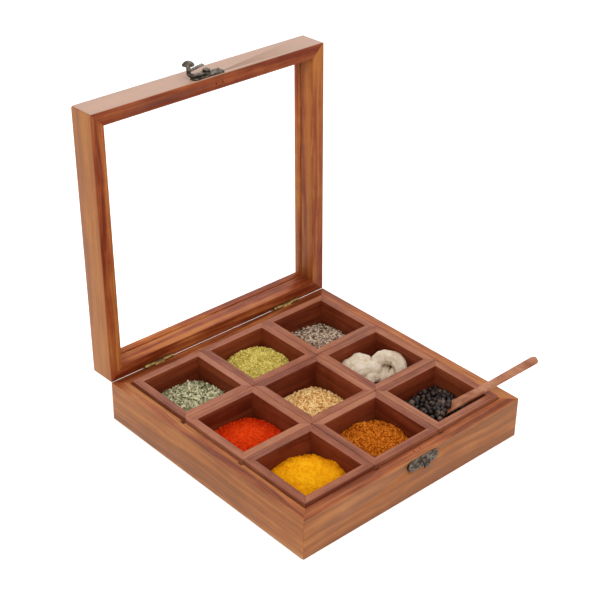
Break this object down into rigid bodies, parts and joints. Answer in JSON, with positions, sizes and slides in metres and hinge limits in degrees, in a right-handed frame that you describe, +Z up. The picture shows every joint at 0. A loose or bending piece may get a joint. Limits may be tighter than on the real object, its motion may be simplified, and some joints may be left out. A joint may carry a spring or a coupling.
{
  "type": "spice box with hinged lid",
  "caption": "Square wooden spice box with lift-out mitred cups, a framed clear lid on rear butt hinges, a swing-hook latch and a wooden spoon.",
  "frame": {"origin": "centre of the bottom rest face of the base", "axes": "+Z up, keeper and latch side towards -Y, hinges towards +Y, +X to the right seen from the front"},
  "size_m": [0.2217, 0.2339, 0.2472],
  "materials": {
    "board": "oiled reddish-brown hardwood",
    "lid_board": "oiled reddish-brown hardwood",
    "cup_board": "oiled reddish-brown hardwood",
    "plywood": "pale plywood",
    "spoon_wood": "oiled hardwood",
    "pane": "clear, polished",
    "hinge_metal": "aged brass",
    "bronze": "antique bronze",
    "turmeric": "loose fine powder",
    "masala": "loose coarse powder",
    "pepper": "loose peppercorns",
    "chilli": "loose powder",
    "seeds": "loose seeds",
    "slices": "dried slices",
    "herbs": "dried flakes",
    "coriander": "loose coarse powder",
    "cumin": "loose seeds"
  },
  "bodies": {
    "base": {"base_front": "board", "base_rear": "board", "base_left": "board", "base_right": "board", "base_bottom": "plywood", "hinge_left_base": "hinge_metal", "hinge_left_pin": "hinge_metal", "hinge_right_base": "hinge_metal", "hinge_right_pin": "hinge_metal", "hinge_screws_base": "hinge_metal", "keeper_plate": "bronze", "keeper_screws": "bronze"},
    "lid": {"lid_front": "lid_board", "lid_rear": "lid_board", "lid_left": "lid_board", "lid_right": "lid_board", "lid_pane": "pane", "hinge_left_lid": "hinge_metal", "hinge_right_lid": "hinge_metal", "hinge_screws_lid": "hinge_metal", "latch_plate": "bronze", "latch_rivet": "bronze", "latch_screws": "bronze"},
    "hook": {"latch_hook": "bronze"},
    "cup_fl": {"cup_fl_walls": "cup_board", "cup_fl_floor": "cup_board", "heap_turmeric": "turmeric"},
    "cup_fm": {"cup_fm_walls": "cup_board", "cup_fm_floor": "cup_board", "heap_masala": "masala"},
    "cup_fr": {"cup_fr_walls": "cup_board", "cup_fr_floor": "cup_board", "heap_pepper": "pepper"},
    "cup_ml": {"cup_ml_walls": "cup_board", "cup_ml_floor": "cup_board", "heap_chilli": "chilli"},
    "cup_mm": {"cup_mm_walls": "cup_board", "cup_mm_floor": "cup_board", "heap_seeds": "seeds"},
    "cup_mr": {"cup_mr_walls": "cup_board", "cup_mr_floor": "cup_board", "heap_slices": "slices"},
    "cup_rl": {"cup_rl_walls": "cup_board", "cup_rl_floor": "cup_board", "heap_herbs": "herbs"},
    "cup_rm": {"cup_rm_walls": "cup_board", "cup_rm_floor": "cup_board", "heap_coriander": "coriander"},
    "cup_rr": {"cup_rr_walls": "cup_board", "cup_rr_floor": "cup_board", "heap_cumin": "cumin"},
    "spoon": {"spoon": "spoon_wood"}
  },
  "joints": [
    {"name": "lid_hinge", "type": "hinge", "parent": "base", "child": "lid", "pos_m": [0, 0.1008, 0.03075], "axis": [-1, 0, 0], "range_deg": [-91.4, 0]},
    {"name": "hook_swing", "type": "hinge", "parent": "lid", "child": "hook", "pos_m": [-0.003, 0.10989, 0.23289], "axis": [0, -0.0244, -0.9997], "range_deg": [-107, 60]},
    {"name": "cup_fl_lift", "type": "slide", "parent": "base", "child": "cup_fl", "axis": [0, 0, 1], "range_m": [0, 0.045]},
    {"name": "cup_fm_lift", "type": "slide", "parent": "base", "child": "cup_fm", "axis": [0, 0, 1], "range_m": [0, 0.045]},
    {"name": "cup_fr_lift", "type": "slide", "parent": "base", "child": "cup_fr", "axis": [0, 0, 1], "range_m": [0, 0.045]},
    {"name": "cup_ml_lift", "type": "slide", "parent": "base", "child": "cup_ml", "axis": [0, 0, 1], "range_m": [0, 0.045]},
    {"name": "cup_mm_lift", "type": "slide", "parent": "base", "child": "cup_mm", "axis": [0, 0, 1], "range_m": [0, 0.045]},
    {"name": "cup_mr_lift", "type": "slide", "parent": "base", "child": "cup_mr", "axis": [0, 0, 1], "range_m": [0, 0.045]},
    {"name": "cup_rl_lift", "type": "slide", "parent": "base", "child": "cup_rl", "axis": [0, 0, 1], "range_m": [0, 0.045]},
    {"name": "cup_rm_lift", "type": "slide", "parent": "base", "child": "cup_rm", "axis": [0, 0, 1], "range_m": [0, 0.045]},
    {"name": "cup_rr_lift", "type": "slide", "parent": "base", "child": "cup_rr", "axis": [0, 0, 1], "range_m": [0, 0.045]},
    {"name": "spoon_draw", "type": "slide", "parent": "cup_fr", "child": "spoon", "axis": [0.6693, -0.3726, 0.6428], "range_m": [0, 0.106]}
  ],
  "couplings": [
    {"joint": "spoon_draw", "follows": "lid_hinge", "m_per_rad": -0.0657}
  ]
}
